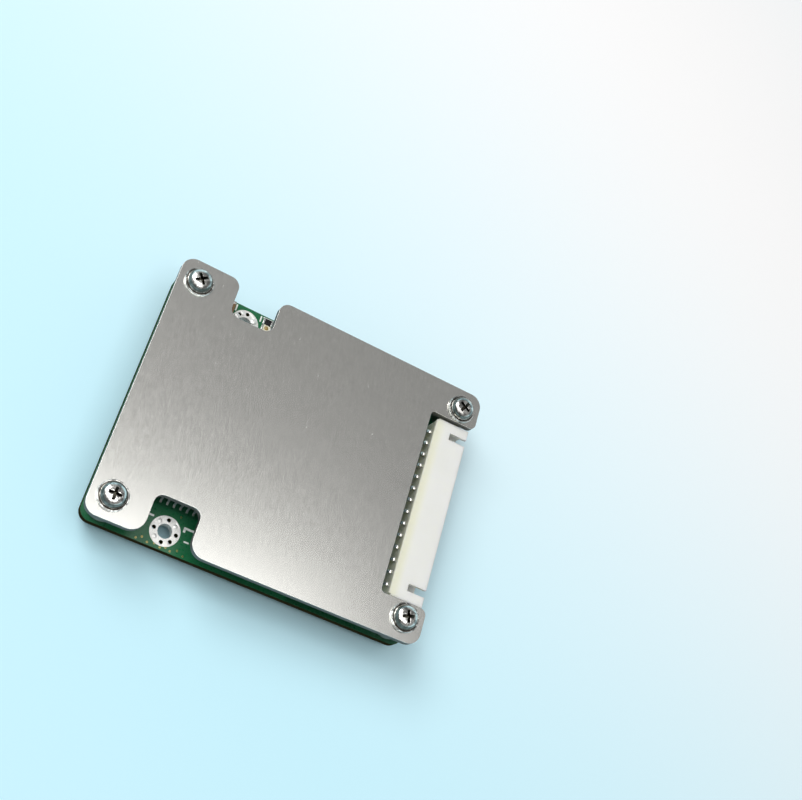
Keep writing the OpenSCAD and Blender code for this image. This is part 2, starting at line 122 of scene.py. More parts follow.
class BoardSizes(bpy.types.PropertyGroup):
    plate_edge: length("Plate edge", "Rounding of the plate's cut edges", 0.13)
    housing_edge: length("Housing edge", "Rounding of the connector housing's edges", 0.14)
    package_edge: length("Package edge", "Rounding of the moulded packages' edges", 0.05)
    metal_edge: length("Metal edge", "Rounding of pins, nuts and spacers", 0.06)
    recess_width: length("Recess width", "Width across the wings of the cross recess", 3.2)
    recess_depth: length("Recess depth", "Depth of the cross recess", 1.25)
    thread_pitch: length("Thread pitch", "Distance from one thread to the next", 0.5)
    thread_depth: length("Thread depth", "Depth of the screws' thread", 0.28)
    solder_height: length("Solder height", "Height of the solder on the pin tails", 1.1)
    ink: length("Ink", "Thickness of the printed marks on the board", 0.03)
    edge_vias: IntProperty(
        name="Edge vias", description="Number of vias along the near edge", default=9, min=2, max=20
    )

    def mm(self, name):
        """One of the lengths, in millimetres."""
        return getattr(self, name) / MM


class BoardColours(bpy.types.PropertyGroup):
    aluminium: colour("Aluminium", "The heatsink plate", (0.77, 0.765, 0.725))
    steel: colour("Screws", "Nickel on the screws", (0.82, 0.81, 0.77))
    zinc: colour("Nuts", "Zinc on the nuts and spacers", (0.55, 0.54, 0.50))
    tin: colour("Tin", "Solder, leads and pins", (0.84, 0.83, 0.80))
    mask: colour("Solder mask", "The board's green lacquer", (0.008, 0.115, 0.042))
    glass_fibre: colour("Glass fibre", "The board's cut edges", (0.045, 0.046, 0.02))
    ink: colour("Ink", "The printed marks", (0.86, 0.88, 0.84))
    nylon: colour("Nylon", "The connector housing", (0.83, 0.84, 0.785))
    # painted shade: the dark colour put in the screws' recesses and in the groove round each dome
    screw_shade: colour("Screw shade", "The darkened steel in the screws' recesses", (0.07, 0.065, 0.05))
    gold: colour("Gold", "The bare rings of the small vias", (0.46, 0.38, 0.14))
    epoxy: colour("Epoxy", "The moulded packages", (0.012, 0.012, 0.014))
    ceramic: colour("Ceramic", "The capacitors' bodies", (0.23, 0.13, 0.06))
    glaze: colour("Glaze", "The resistors' bodies", (0.014, 0.013, 0.014))
    silicone: colour("Silicone", "The thermal pads", (0.20, 0.25, 0.31))
    lens: colour("Lens", "The status LED's body", (0.86, 0.80, 0.62))


class StageSettings(bpy.types.PropertyGroup):
    floor: colour("Floor", "The pale floor", (0.60, 0.90, 1.0))
    overhead_power: FloatProperty(
        name="Overhead power", description="Power of the wide light overhead", default=1.9, min=0,
        unit="POWER",
    )
    back_power: FloatProperty(
        name="Back power", description="Power of the light behind on the left", default=6.8, min=0,
        unit="POWER",
    )
    world: FloatProperty(
        name="World", description="Strength of the room's own light", default=0.34, min=0, max=1
    )
    lens: FloatProperty(
        name="Lens", description="Focal length of the camera", default=54.55, min=10, unit="CAMERA"
    )


# ---- Materials ----


class Wire:
    """A socket that can be used in sums: each operator adds a Math node."""

    def __init__(self, finish, socket):
        self.finish = finish
        self.socket = socket

    def sum(self, operation, *values):
        inputs = dict(enumerate(values))
        return self.finish.node("ShaderNodeMath", {"operation": operation}, inputs)

    def __add__(self, other):
        return self.sum("ADD", self, other)

    def __sub__(self, other):
        return self.sum("SUBTRACT", self, other)

    def __rsub__(self, other):
        return self.sum("SUBTRACT", other, self)

    def __mul__(self, other):
        return self.sum("MULTIPLY", self, other)

    def __gt__(self, other):
        return self.sum("GREATER_THAN", self, other)

    def __lt__(self, other):
        return self.sum("LESS_THAN", self, other)

    def __abs__(self):
        return self.sum("ABSOLUTE", self)

    def distance(self, other):
        """Length of the two as the sides of a right angle."""
        return self.sum("SQRT", self * self + other * other)

    def to_nearest(self, start, pitch):
        """Distance to the nearest of the lines that lie a pitch apart from start."""
        return self.sum("PINGPONG", self - (start + pitch / 2), pitch / 2) * -1 + pitch / 2

    def ramp(self, low, high, start=0.0, end=1.0):
        """Goes smoothly from start to end as the value goes from low to high."""
        return self.finish.node(
            "ShaderNodeMapRange",
            {"interpolation_type": "SMOOTHSTEP"},
            {0: self, 1: low, 2: high, 3: start, 4: end},
        )


SOCKETS = {
    "specular_ior_level": "Specular IOR Level",
    "specular_tint": "Specular Tint",
    "subsurface_weight": "Subsurface Weight",
    "subsurface_radius": "Subsurface Radius",
    "subsurface_scale": "Subsurface Scale",
}


class Finish:
    """One material's nodes."""

    def __init__(self, name, owner=None):
        self.owner = owner or bpy.data.materials.new(name)
        self.owner.use_nodes = True
        self.tree = self.owner.node_tree
        self.tree.nodes.clear()

    def node(self, kind, settings=None, inputs=None, output=0):
        """Adds a node, sets what it is, then its sockets, and gives one output."""
        node = self.tree.nodes.new(kind)
        for name, value in (settings or {}).items():
            setattr(node, name, value)
        for key, value in (inputs or {}).items():
            if isinstance(value, Wire):
                self.tree.links.new(value.socket, node.inputs[key])
            else:
                node.inputs[key].default_value = value
        return Wire(self, node.outputs[output]) if len(node.outputs) else None

    def place(self):
        """Where a point lies on the object: x, y and z in millimetres."""
        coords = self.node("ShaderNodeTexCoord", output="Object")
        scaled = self.node(
            "ShaderNodeVectorMath", {"operation": "SCALE"}, {0: coords, "Scale": 1 / MM}
        )
        self.point = scaled
        return [self.node("ShaderNodeSeparateXYZ", inputs={0: scaled}, output=i) for i in range(3)]

    def facing(self):
        """The normal's own x, y and z."""
        normal = self.node("ShaderNodeNewGeometry", output="Normal")
        return [self.node("ShaderNodeSeparateXYZ", inputs={0: normal}, output=i) for i in range(3)]

    def vector(self, x, y, z):
        return self.node("ShaderNodeCombineXYZ", inputs={0: x, 1: y, 2: z})

    def noise(self, where, scale, detail=3.0, roughness=0.5):
        """Soft noise from 0 to 1; scale is waves per millimetre."""
        return self.node(
            "ShaderNodeTexNoise",
            inputs={"Vector": where, "Scale": scale, "Detail": detail, "Roughness": roughness},
        )

    def mix(self, share, first, second):
        """Goes from one colour to another."""
        colours = [v if isinstance(v, Wire) else (*v, 1.0) for v in (first, second)]
        return self.node(
            "ShaderNodeMix", {"data_type": "RGBA"}, {0: share, 6: colours[0], 7: colours[1]}, 2
        )

    def bump(self, height, strength, depth):
        """A normal that follows a height, depth millimetres deep."""
        inputs = {"Height": height, "Strength": strength, "Distance": depth * MM}
        return self.node("ShaderNodeBump", inputs=inputs)

    def surface(self, colour, roughness, **sockets):
        """Ends the material in a Principled shader."""
        values = {
            "Base Color": colour if isinstance(colour, Wire) else (*colour, 1.0),
            "Roughness": roughness,
        }
        for name, value in sockets.items():
            values[SOCKETS.get(name) or name.replace("_", " ").capitalize()] = value
        self.end(self.node("ShaderNodeBsdfPrincipled", inputs=values))
        return self.owner

    def end(self, shader, kind="ShaderNodeOutputMaterial"):
        """Links the last shader to the output."""
        self.node(kind, inputs={"Surface": shader})

    def ray(self, kind):
        """1 for rays of a kind, such as Is Camera Ray."""
        return self.node("ShaderNodeLightPath", output=kind)

    def mix_shader(self, share, first, second):
        """Goes from one shader to another."""
        return self.node("ShaderNodeMixShader", inputs={0: share, 1: first, 2: second})


def shade(colour, factor):
    """A colour made lighter or darker."""
    return tuple(min(1.0, c * factor) for c in colour)


def brushed_aluminium(colours):
    """Sheet brushed along its short side."""
    finish = Finish("brushed_aluminium")
    x, y, z = finish.place()
    across = x + y * 0.16
    fine = finish.noise(finish.vector(across * 4.2, y * 0.75, z), 1.0, 4, 0.62)
    coarse = finish.noise(finish.vector(across * 1.5, y * 0.22, z), 1.0, 2, 0.5)
    cloud = finish.noise(finish.point, 0.05, 2, 0.5)
    grain = fine * 0.75 + coarse * 0.25
    tone = grain.ramp(0.2, 0.8) * 0.7 + cloud * 0.3
    base = finish.mix(tone, shade(colours.aluminium, 0.93), shade(colours.aluminium, 1.06))
    rough = grain.ramp(0.2, 0.8, 0.21, 0.28)
    normal = finish.bump(grain, 0.15, 0.004)
    return finish.surface(base, rough, metallic=1.0, normal=normal)


def shaded_cut_aluminium(colours):
    """The plate's cut edges: darkened as painted shade, with fine lines along the cut."""
    finish = Finish("shaded_cut_aluminium")
    x, y, z = finish.place()
    lines = finish.noise(finish.vector(x * 0.4, y * 0.4, z * 9), 1.0, 3, 0.6)
    # painted shade: the edges' colour is a fifth to two fifths of the aluminium's
    base = finish.mix(lines, shade(colours.aluminium, 0.2), shade(colours.aluminium, 0.42))
    rough = lines.ramp(0.3, 0.7, 0.42, 0.55)
    normal = finish.bump(lines, 0.3, 0.02)
    return finish.surface(
        base, rough, metallic=1.0, normal=normal, specular_tint=(0.35, 0.35, 0.35, 1.0)
    )


def plated(name, base_colour, low, high):
    """Bright plated metal with faint handling marks."""
    finish = Finish(name)
    finish.place()
    marks = finish.noise(finish.point, 3.2, 5, 0.65)
    cloud = finish.noise(finish.point, 0.7, 2, 0.5)
    base = finish.mix(cloud, shade(base_colour, 0.88), shade(base_colour, 1.06))
    rough = marks.ramp(0.3, 0.7, low, high)
    return finish.surface(
        base, rough, metallic=1.0, normal=finish.bump(marks, 0.25, 0.02)
    )


def polished_steel(colours):
    """Nickel on the screws: bright, with dark painted reflections in spots and a ring of painted shade
    at the foot of each dome.
    """
    finish = Finish("screw_nickel")
    x, y, z = finish.place()
    site = SCREW_SITES[0]
    radius = (abs(x) - abs(site.x)).distance(abs(y) - abs(site.y))
    # painted shade: a dark ring in the groove round the foot of each dome
    foot = (abs(radius - DOME_FOOT) < 0.2) * (z > PLATE[1].z + 0.5)
    marks = finish.noise(finish.point, 3.2, 5, 0.65)
    # painted reflections: dark spots that stand for reflections on the nickel
    reflection_patches = finish.noise(finish.point, 0.85, 3, 0.7).ramp(0.44, 0.56)
    base = finish.mix(reflection_patches, shade(colours.steel, 0.42), shade(colours.steel, 1.08))
    base = finish.mix(foot.ramp(0.0, 1.0, 0.0, 0.8), base, colours.screw_shade)
    rough = marks.ramp(0.3, 0.7, 0.13, 0.27)
    return finish.surface(
        base, rough, metallic=1.0, normal=finish.bump(marks, 0.25, 0.02)
    )


def soldered(colours):
    """Tin that has run and set: soft lumps and a slightly frosted skin."""
    finish = Finish("solder")
    finish.place()
    lumps = finish.noise(finish.point, 1.3, 3, 0.55)
    frost = finish.noise(finish.point, 9.0, 3, 0.6)
    base = finish.mix(lumps.ramp(0.3, 0.7), shade(colours.tin, 0.98), shade(colours.tin, 1.12))
    rough = frost.ramp(0.3, 0.7, 0.24, 0.4)
    height = lumps + frost * 0.12
    return finish.surface(
        base, rough, metallic=0.4, normal=finish.bump(height, 0.3, 0.12)
    )


def solder_mask(colours):
    """Green lacquer over copper, with the traces showing through it."""
    finish = Finish("solder_mask")
    x, y, z = finish.place()
    facing = finish.facing()
    underside = facing[2] < -0.5
    first = middle(PINS[0]).y
    from_row = y.to_nearest(first, PIN_PITCH)
    trace = (from_row < 0.22) * (x > TRACE_START) * (x < PIN_LEG) * underside
    pour = (abs(y) > POUR_EDGE_Y) * (x < 8.0) + (x < POUR_EDGE_X)
    side_gap = (abs(abs(y) - POUR_EDGE_Y) < 0.13) * (x < 8.1)
    gap = side_gap + (abs(x - POUR_EDGE_X) < 0.13)
    copper = (trace + pour * (1 - gap)).ramp(0.2, 0.8)
    ring = (x - PIN_LEG).distance(from_row)
    plated_ring = (ring < 0.82) * (abs(y) < 17.0)
    grain = finish.noise(finish.point, 2.4, 3, 0.5)
    green = finish.mix(copper, shade(colours.mask, 0.75), shade(colours.mask, 1.2))
    green = finish.mix(grain.ramp(0.35, 0.65, 0.0, 0.25), green, shade(colours.mask, 0.55))
    base = finish.mix(plated_ring, green, colours.tin)
    rough = grain.ramp(0.3, 0.7, 0.26, 0.36)
    height = copper * 0.6 + grain * 0.2
    return finish.surface(
        base, rough, metallic=plated_ring, normal=finish.bump(height, 0.4, 0.02)
    )


def cut_laminate(colours):
    """The board's bare edges: layers of woven glass in dark resin."""
    finish = Finish("cut_laminate")
    x, y, z = finish.place()
    layers = finish.noise(finish.vector(x * 0.5, y * 0.5, z * 8), 1.0, 2, 0.5)
    weave = finish.noise(finish.point, 5.0, 3, 0.6)
    tone = layers * 0.6 + weave * 0.4
    base = finish.mix(
        tone.ramp(0.3, 0.7), shade(colours.glass_fibre, 0.5), shade(colours.glass_fibre, 1.5)
    )
    rough = weave.ramp(0.3, 0.7, 0.75, 0.9)
    normal = finish.bump(tone, 0.5, 0.04)
    return finish.surface(base, rough, normal=normal, specular_ior_level=0.0)


def moulded(name, base_colour, rough, grain_size, depth):
    """Moulded plastic, rubber or ceramic with a fine even grain."""
    finish = Finish(name)
    finish.place()
    grain = finish.noise(finish.point, grain_size, 4, 0.6)
    cloud = finish.noise(finish.point, 0.35, 2, 0.5)
    base = finish.mix(cloud, shade(base_colour, 0.88), shade(base_colour, 1.12))
    roughness = grain.ramp(0.3, 0.7, rough - 0.06, rough + 0.08)
    normal = finish.bump(grain, 0.35, depth)
    return finish.surface(base, roughness, normal=normal)


def ivory_nylon(colours):
    """Translucent white nylon, with a painted yellow glow of light along the rear wall over the pins.
    """
    finish = Finish("ivory_nylon")
    x, y, z = finish.place()
    grain = finish.noise(finish.point, 5.0, 4, 0.6)
    cloud = finish.noise(finish.point, 0.16, 2, 0.5)
    rear = HOUSING[0].x
    # painted light: a yellow tint along the rear wall, standing for light shining through it
    rear_glow = (x - rear).ramp(0.1, 1.9, 1.0, 0.0) * 0.75
    base = finish.mix(cloud, shade(colours.nylon, 0.97), shade(colours.nylon, 1.04))
    base = finish.mix(rear_glow, base, (0.80, 0.80, 0.60))
    roughness = grain.ramp(0.3, 0.7, 0.42, 0.56)
    return finish.surface(
        base,
        roughness,
        normal=finish.bump(grain, 0.25, 0.015),
        subsurface_weight=0.8,
        subsurface_radius=(1.0, 1.0, 0.85),
        subsurface_scale=1.5 * MM,
    )


MATERIALS = {}


def make_materials(colours):
    """Makes each finish once."""
    MATERIALS["aluminium"] = brushed_aluminium(colours)
    MATERIALS["cut"] = shaded_cut_aluminium(colours)
    MATERIALS["steel"] = polished_steel(colours)
    MATERIALS["zinc"] = plated("nut_zinc", shade(colours.zinc, 0.72), 0.28, 0.45)
    MATERIALS["tin"] = plated("lead_tin", colours.tin, 0.18, 0.34)
    MATERIALS["lead"] = plated("dull_lead", shade(colours.tin, 0.4), 0.3, 0.45)
    # painted shade for the screws' recesses and grooves
    MATERIALS["screw_shade"] = plated("screw_shade_steel", colours.screw_shade, 0.25, 0.45)
    MATERIALS["gold"] = plated("via_gold", colours.gold, 0.3, 0.45)
    MATERIALS["solder"] = soldered(colours)
    MATERIALS["mask"] = solder_mask(colours)
    MATERIALS["laminate"] = cut_laminate(colours)
    MATERIALS["nylon"] = ivory_nylon(colours)
    MATERIALS["epoxy"] = moulded("black_epoxy", colours.epoxy, 0.5, 7.0, 0.02)
    MATERIALS["ceramic"] = moulded("brown_ceramic", colours.ceramic, 0.55, 6.0, 0.01)
    MATERIALS["glaze"] = moulded("black_glaze", colours.glaze, 0.25, 4.0, 0.005)
    MATERIALS["silicone"] = moulded("thermal_silicone", colours.silicone, 0.75, 3.0, 0.05)
    MATERIALS["ink"] = moulded("white_ink", colours.ink, 0.6, 8.0, 0.004)
    MATERIALS["lens"] = moulded("led_body", colours.lens, 0.3, 3.0, 0.004)
    MATERIALS["amber"] = moulded("led_die", (0.42, 0.29, 0.10), 0.25, 3.0, 0.004)


# ---- Modelling ----


def only(piece):
    """Selects one object and makes it the active one."""
    bpy.ops.object.select_all(action="DESELECT")
    piece.select_set(True)
    bpy.context.view_layer.objects.active = piece


def edit(piece):
    """Opens an object for editing, with all of it selected."""
    only(piece)
    bpy.ops.object.mode_set(mode="EDIT")
    bpy.ops.mesh.select_all(action="SELECT")


def close():
    """Ends the editing."""
    bpy.ops.object.mode_set(mode="OBJECT")


def pick_faces(piece, test):
    """While editing, selects just the faces whose centre in mm and normal pass a test."""
    bpy.ops.mesh.select_mode(type="FACE")
    bpy.ops.mesh.select_all(action="DESELECT")
    close()
    for face in piece.data.polygons:
        face.select = bool(test(face.center / MM, face.normal))
    bpy.ops.object.mode_set(mode="EDIT")


def smooth(piece, degrees=35):
    """Smooth shading across edges flatter than the angle."""
    only(piece)
    bpy.ops.object.shade_smooth_by_angle(angle=math.radians(degrees))


def apply_modifier(piece, kind, **settings):
    """Adds a modifier and applies it."""
    only(piece)
    modifier = piece.modifiers.new(kind.title(), kind)
    for name, value in settings.items():
        setattr(modifier, name, value)
    bpy.ops.object.modifier_apply(modifier=modifier.name)


def paint(piece, finishes, rule=None):
    """Gives a piece its finishes; the rule says which of them a face at a place in mm takes."""
    piece.data.materials.clear()
    for finish in finishes:
        piece.data.materials.append(MATERIALS[finish])
    for face in piece.data.polygons:
        face.material_index = int(rule(face.center / MM)) if rule else 0


def settle(piece, name):
    """Names a finished piece, puts its object at the origin, and lets it ride on the board."""
    only(piece)
    bpy.ops.object.transform_apply(location=True, rotation=True, scale=True)
    piece.name = name
    piece.data.name = name
    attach(piece, "root")


def merged_copy(node):
    """A copy of a CAD node with its loose triangles merged into whole faces."""
    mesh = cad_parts[node].data.copy()
    piece = bpy.data.objects.new(node + "_copy", mesh)
    bpy.context.scene.collection.objects.link(piece)
    mesh.materials.clear()
    edit(piece)
    bpy.ops.mesh.customdata_custom_splitnormals_clear()
    bpy.ops.mesh.remove_doubles(threshold=0.001 * MM)
    bpy.ops.mesh.dissolve_limited(angle_limit=math.radians(0.5))
    close()
    return piece


def soften(piece, width, segments=2, degrees=30):
    """Rounds every edge sharper than the angle."""
    apply_modifier(
        piece, "BEVEL", width=width * MM, segments=segments, limit_method="ANGLE",
        angle_limit=math.radians(degrees), miter_outer="MITER_ARC",
    )
    smooth(piece)
    apply_modifier(piece, "WEIGHTED_NORMAL", keep_sharp=True)


def cut_across(piece, axis, values):
    """Cuts the faces of a piece along planes at the given places on an axis."""
    normal = [0.0, 0.0, 0.0]
    normal[axis] = 1.0
    for value in values:
        edit(piece)
        point = [0.0, 0.0, 0.0]
        point[axis] = value * MM
        bpy.ops.mesh.bisect(plane_co=point, plane_no=normal)
        close()


def beyond(axis, centres, half):
    """A rule for the faces further than half from every one of the centres."""
    return lambda place: min(abs(place[axis] - centre) for centre in centres) > half


def turned(rings, place=(0, 0, 0), sides=32):
    """A solid turned about a vertical axis: (radius, height) of one ring after the other."""
    x, y, z = place
    radius, height = rings[0]
    bpy.ops.object.select_all(action="DESELECT")
    bpy.ops.mesh.primitive_circle_add(
        vertices=sides, radius=radius * MM, fill_type="NGON",
        location=(x * MM, y * MM, (z + height) * MM),
    )
    piece = bpy.context.active_object
    edit(piece)
    for (r0, z0), (r1, z1) in zip(rings, rings[1:]):
        bpy.ops.mesh.extrude_region_move(TRANSFORM_OT_translate={"value": (0, 0, (z1 - z0) * MM)})
        share = r1 / r0
        bpy.ops.transform.resize(
            value=(share, share, 1), center_override=(x * MM, y * MM, (z + z1) * MM)
        )
    bpy.ops.mesh.select_all(action="SELECT")
    bpy.ops.mesh.normals_make_consistent(inside=False)
    close()
    only(piece)
    bpy.ops.object.transform_apply(location=True, rotation=True, scale=True)
    return piece


def block(low, high, round_corners=0.0, segments=2):
    """A block between two corners, its upright edges rounded."""
    low, high = Vector(low), Vector(high)
    size = high - low
    bpy.ops.object.select_all(action="DESELECT")
    bpy.ops.mesh.primitive_cube_add(size=1, location=(low + high) / 2 * MM, scale=size * MM)
    piece = bpy.context.active_object
    bpy.ops.object.transform_apply(location=True, rotation=True, scale=True)
    if round_corners:
        edit(piece)
        bpy.ops.mesh.select_mode(type="EDGE")
        bpy.ops.mesh.select_all(action="DESELECT")
        close()
        points = piece.data.vertices
        for edge in piece.data.edges:
            a, b = (points[i].co for i in edge.vertices)
            edge.select = abs((b - a).z) > 0.5 * size.z * MM
        bpy.ops.object.mode_set(mode="EDIT")
        bpy.ops.mesh.bevel(offset=round_corners * MM, segments=segments, affect="EDGES")
        close()
    return piece


def copies(piece, steps):
    """Copies of a piece, each with its own mesh, moved by the steps in mm; the first goes too."""
    made = []
    for step in steps:
        twin = piece.copy()
        twin.data = piece.data.copy()
        bpy.context.scene.collection.objects.link(twin)
        twin.data.transform(Matrix.Translation(Vector(step) * MM))
        made.append(twin)
    bpy.data.objects.remove(piece)
    return made


def joined(parts):
    """Joins several objects into one."""
    bpy.ops.object.select_all(action="DESELECT")
    for part in parts:
        part.select_set(True)
    bpy.context.view_layer.objects.active = parts[0]
    bpy.ops.object.join()
    return parts[0]


def boolean(piece, tool, operation="DIFFERENCE"):
    """Cuts a tool out of a piece, or adds it, and deletes the tool."""
    apply_modifier(piece, "BOOLEAN", object=tool, operation=operation, solver="EXACT")
    bpy.data.objects.remove(tool)


# ---- Pieces ----


class BoardPiece:
    """What every piece's operator shares: the two groups of settings."""

    bl_options = {"REGISTER", "UNDO"}

    def execute(self, context):
        self.make(context.scene.board_sizes, context.scene.board_colours)
        return {"FINISHED"}


class BOARD_OT_heatsink_plate(BoardPiece, bpy.types.Operator):
    """Brushed plate with softly broken edges"""

    bl_idname = "board.heatsink_plate"
    bl_label = "Heatsink plate"

    def make(self, sizes, colours):
        piece = merged_copy("heatsink_plate")
        soften(piece, sizes.mm("plate_edge"))
        low, high = PLATE[0].z + 0.1, PLATE[1].z - 0.1
        # the side walls take the darkened cut finish, which is painted shade
        paint(piece, ["aluminium", "cut"], lambda place: low < place.z < high)
        settle(piece, "brushed_plate")
        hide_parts("heatsink_plate")


def cross_cutter(sizes, top):
    """The tool that presses the cross recess: two crossed wings that narrow downwards."""
    wings = []
    half = sizes.mm("recess_width") / 2
    waist = sizes.mm("recess_width") / 10
    for turn in (0, 1):
        low = (-half, -waist, -sizes.mm("recess_depth"))
        high = (half, waist, 0.6)
        wing = block((*low[:2], top + low[2]), (*high[:2], top + high[2]))
        edit(wing)
        pick_faces(wing, lambda centre, normal: normal.z < -0.5)
        bpy.ops.transform.resize(
            value=(0.34, 0.7, 1), center_override=(0, 0, (top - sizes.mm("recess_depth")) * MM)
        )
        close()
        if turn:
            wing.data.transform(Matrix.Rotation(math.pi / 2, 4, "Z"))
        wings.append(wing)
    boolean(wings[0], wings[1], "UNION")
    return wings[0]


class BOARD_OT_screws(BoardPiece, bpy.types.Operator):
    """Pan-head screws with a cross recess and a thread"""

    bl_idname = "board.screws"
    bl_label = "Screws"

    def make(self, sizes, colours):
        head_r = min(site.x for site in SCREW_SITES) - corners("plate_screws")[0].x
        seat = PLATE[1].z
        top = SCREW_TOP - 0.02
        ledge = seat + (top - seat) * 0.26
        dome_r = head_r - 0.4
        rings = self.thread(sizes, seat)
        rings += [(head_r - 0.12, seat), (head_r, seat + 0.12), (head_r, ledge - 0.08)]
        rings += [(head_r - 0.06, ledge), (head_r - 0.24, ledge), (head_r - 0.28, ledge - 0.1)]
        rings += [(dome_r + 0.04, ledge - 0.1)]
        steps = 10
        for step in range(steps + 1):
            angle = math.radians(88) * step / steps
            radius = dome_r * (math.cos(angle) ** DOME_FULLNESS)
            rings.append((max(radius, 0.05), ledge + (top - ledge) * math.sin(angle)))
        screw = turned(rings, sides=56)
        boolean(screw, cross_cutter(sizes, top))
        soften(screw, 0.035, 2, 40)

        def in_screw_shade(place):
            """In the recess, or in the groove round the foot of the dome: where the painted shade
            goes.
            """
            radius = place.xy.length
            skin = min(radius / dome_r, 1.0) ** (1 / DOME_FULLNESS)
            skin = ledge + (top - ledge) * math.sqrt(1 - skin * skin)
            recess = radius < dome_r - 0.05 and ledge - 0.5 < place.z < skin - 0.07
            groove = dome_r <= radius < head_r - 0.25 and seat + 0.2 < place.z < ledge + 0.1
            return recess or groove

        # the recess and groove faces take the painted shade
        paint(screw, ["steel", "screw_shade"], in_screw_shade)
        parts = []
        for site, degrees in zip(SCREW_SITES, SCREW_TURNS):
            twin = screw.copy()
            twin.data = screw.data.copy()
            bpy.context.scene.collection.objects.link(twin)
            turn = Matrix.Rotation(math.radians(degrees), 4, "Z")
            twin.data.transform(Matrix.Translation(Vector((site.x, site.y, 0)) * MM) @ turn)
            parts.append(twin)
        bpy.data.objects.remove(screw)
        piece = joined(parts)
        settle(piece, "pan_head_screws")
        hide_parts("plate_screws")

    def thread(self, sizes, seat):
        """Rings of the shank: a pointed start, then one ridge for every turn."""
        outer = SHANK_RADIUS
        pitch = sizes.mm("thread_pitch")
        rings = [(outer - 0.3, 0.0), (outer - 0.02, 0.28)]
        for turn in range(1, int((BOARD[0].z + 0.5) / pitch)):
            z = turn * pitch
            rings.append((outer - sizes.mm("thread_depth"), z))
            rings.append((outer, z + pitch * 0.45))
            rings.append((outer, z + pitch * 0.55))
        rings.append((outer, seat - 0.02))
        return rings


class BOARD_OT_nuts_and_spacers(BoardPiece, bpy.types.Operator):
    """Plated nuts and spacers"""

    bl_idname = "board.nuts_and_spacers"
    bl_label = "Nuts and spacers"

    def make(self, sizes, colours):
        nuts = merged_copy("hex_nuts")
        soften(nuts, sizes.mm("metal_edge"))
        paint(nuts, ["zinc"])
        settle(nuts, "plated_nuts")
        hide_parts("hex_nuts")
        for name in SPACERS:
            piece = merged_copy(name)
            soften(piece, sizes.mm("metal_edge"))
            paint(piece, ["zinc"])
            settle(piece, "plated_" + name)
            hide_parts(name)


class BOARD_OT_connector(BoardPiece, bpy.types.Operator):
    """Nylon housing, tinned pins and the solder on their tails"""

    bl_idname = "board.connector"
    bl_label = "Connector"

    def make(self, sizes, colours):
        housing = merged_copy("connector_housing")
        low, high = HOUSING
        lip_low = (low.x - 0.4, low.y + 0.3, high.z - 0.75)
        lip_high = (low.x + 0.5, high.y - 0.3, high.z)
        lip = block(lip_low, lip_high, 0.15)
        boolean(housing, lip, "UNION")
        between_pins = [middle(name).y + PIN_PITCH / 2 for name in PINS[:-1]]
        cut_across(housing, 1, between_pins)
        soften(housing, sizes.mm("housing_edge"), 3)
        paint(housing, ["nylon"])
        settle(housing, "moulded_housing")
        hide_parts("connector_housing")
        for name in PINS:
            pin = merged_copy(name)
            soften(pin, sizes.mm("metal_edge"))
            paint(pin, ["tin"])
            settle(pin, "tinned_" + name.split("_", 1)[1])
            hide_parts(name)
        self.solder(sizes)

    def solder(self, sizes):
        """A cone of solder on each pin's tail, under the board."""
        z = BOARD[0].z
        h = sizes.mm("solder_height")
        rings = [(0.82, 0.0), (0.78, -0.12), (0.6, -0.35 * h), (0.46, -0.65 * h), (0.36, -h)]
        cone = turned(rings, (PIN_LEG, 0, z), 20)
        smooth(cone, 60)
        paint(cone, ["solder"])
        piece = joined(copies(cone, [(0, middle(name).y, 0) for name in PINS]))
        settle(piece, "pin_solder")


class BOARD_OT_circuit_board(BoardPiece, bpy.types.Operator):
    """Solder mask, printed marks and edge vias"""

    bl_idname = "board.circuit_board"
    bl_label = "Circuit board"

    def make(self, sizes, colours):
        board = merged_copy("circuit_board")
        soften(board, 0.04)
        low, high = BOARD[0].z + 0.03, BOARD[1].z - 0.03
        paint(board, ["mask", "laminate"], lambda place: low < place.z < high)
        settle(board, "lacquered_board")
        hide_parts("circuit_board")
        self.marks(sizes)
        self.vias(sizes)

    def marks(self, sizes):
        """Plain printed bars beside the two wire pads."""
        z = BOARD[1].z
        px, py = OUTPUT_PAD.x, OUTPUT_PAD.y
        bx, by = BATTERY_PAD.x, BATTERY_PAD.y
        bars = [
            (px - 4.0, py + 1.7, px - 2.75, py + 2.05),
            (px + 3.0, py + 1.7, px + 5.2, py + 2.1),
            (px + 3.0, py + 1.1, px + 3.45, py + 1.8),
            (px + 3.75, py - 0.6, px + 4.75, py - 0.3),
            (bx - 2.65, by + 1.8, bx - 2.35, by + 3.2),
            (bx + 2.55, by + 1.9, bx + 2.85, by + 3.2),
            (bx + 3.1, by + 3.0, bx + 5.4, by + 3.25),
        ]
        parts = [
            block((x0, y0, z), (x1, y1, z + sizes.mm("ink")), 0.08) for x0, y0, x1, y1 in bars
        ]
        piece = joined(parts)
        paint(piece, ["ink"])
        settle(piece, "printed_marks")

    def vias(self, sizes):
        """Small bare rings round their holes, along the near edge; each hole is painted black as
        painted shade.
        """
        z = BOARD[1].z
        via = turned(
            [(0.2, -0.02), (0.2, 0.03), (0.1, 0.035), (0.08, -0.015), (0.01, -0.016)],
            (0, 0, z), 14,
        )
        smooth(via, 60)
        # painted shade: the middle of each via takes the black epoxy finish in place of a deep hole
        paint(via, ["gold", "epoxy"], lambda place: place.xy.length < 0.095)
        count = sizes.edge_vias
        near = BOARD[0].y + 0.5
        steps = []
        for i in range(count):
            share = i / (count - 1)
            x = OUTPUT_PAD.x - 4.4 + 8.8 * share + 0.14 * math.sin(5 * i)
            steps.append((x, near + 0.62 * (i % 2) * abs(2 * share - 1) ** 0.5, 0))
        steps.append((OUTPUT_PAD.x + 1.85, OUTPUT_PAD.y + 3.5, 0))
        piece = joined(copies(via, steps))
        settle(piece, "edge_vias")


